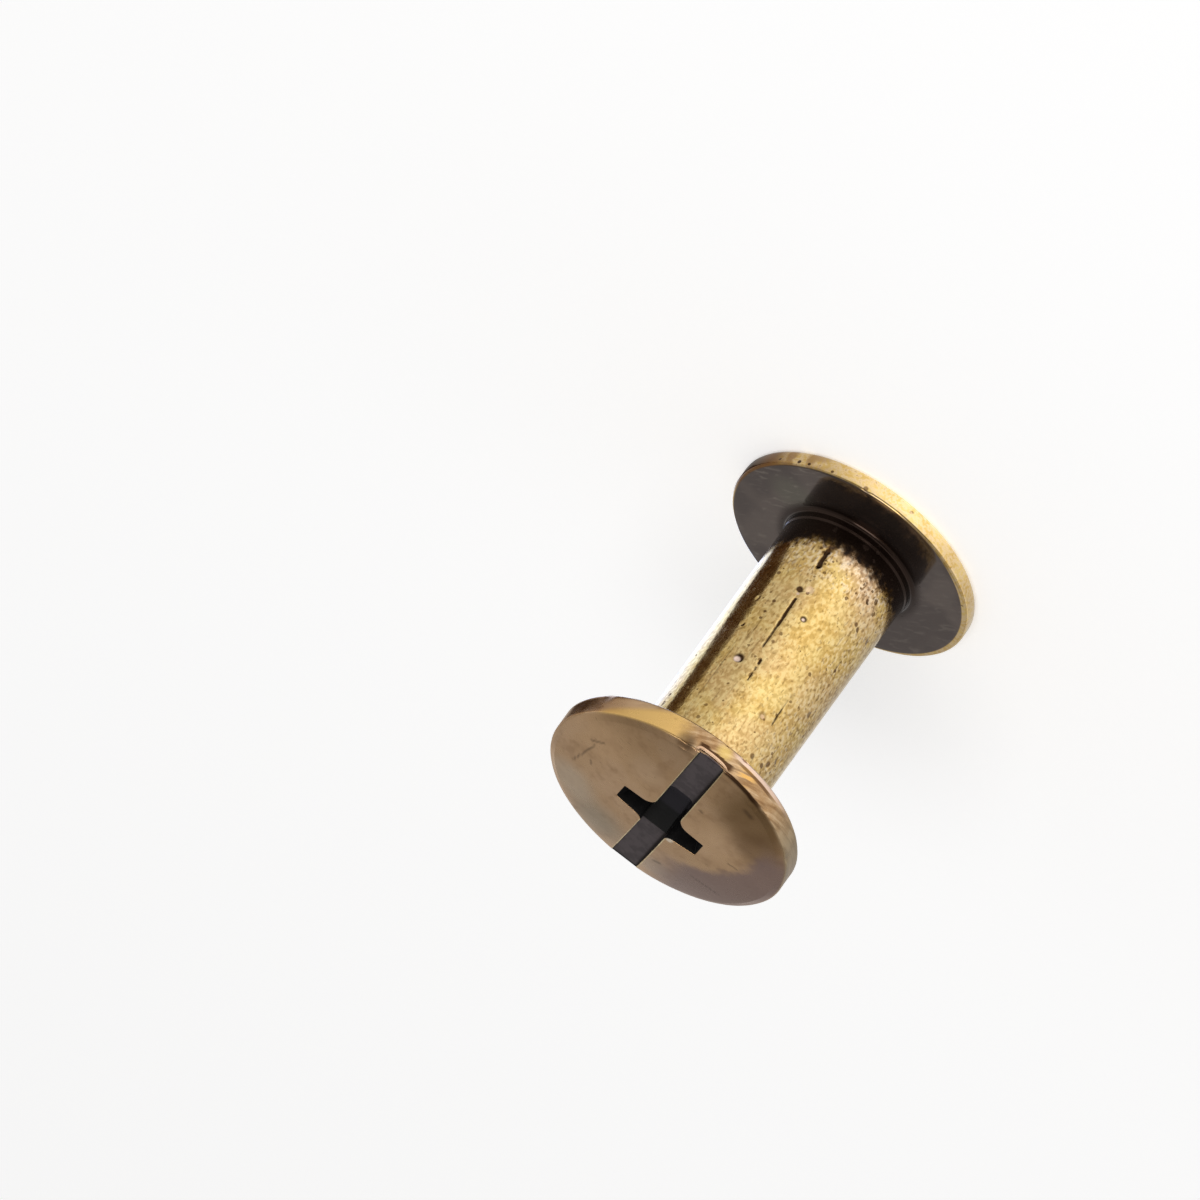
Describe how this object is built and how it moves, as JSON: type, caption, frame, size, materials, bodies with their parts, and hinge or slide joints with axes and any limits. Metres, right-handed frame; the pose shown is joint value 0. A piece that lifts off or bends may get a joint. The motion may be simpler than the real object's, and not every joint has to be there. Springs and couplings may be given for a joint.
{
  "type": "binding barrel screw",
  "caption": "Binding barrel screw in antiqued brass: a headed, internally threaded post and a low-domed screw with a slot and a cross recess, for binding straps or sheets.",
  "frame": {"origin": "centre of the outer face of the barrel's head, on which the closed fastener stands", "axes": "+Z along the screw axis, from the barrel's head to the screw's head; +Y along the driver slot"},
  "size_m": [0.01, 0.01, 0.0141],
  "materials": {
    "barrel_brass": "antiqued brass, dark in the recesses and rubbed bright on the post",
    "screw_brass": "antiqued brass, satin brown on the face and dark in the drive"
  },
  "bodies": {
    "barrel": {"barrel": "barrel_brass"},
    "screw": {"screw": "screw_brass"}
  },
  "joints": [
    {"name": "screw_travel", "type": "slide", "parent": "barrel", "child": "screw", "axis": [0, 0, 1], "range_m": [0, 0.0077]}
  ]
}
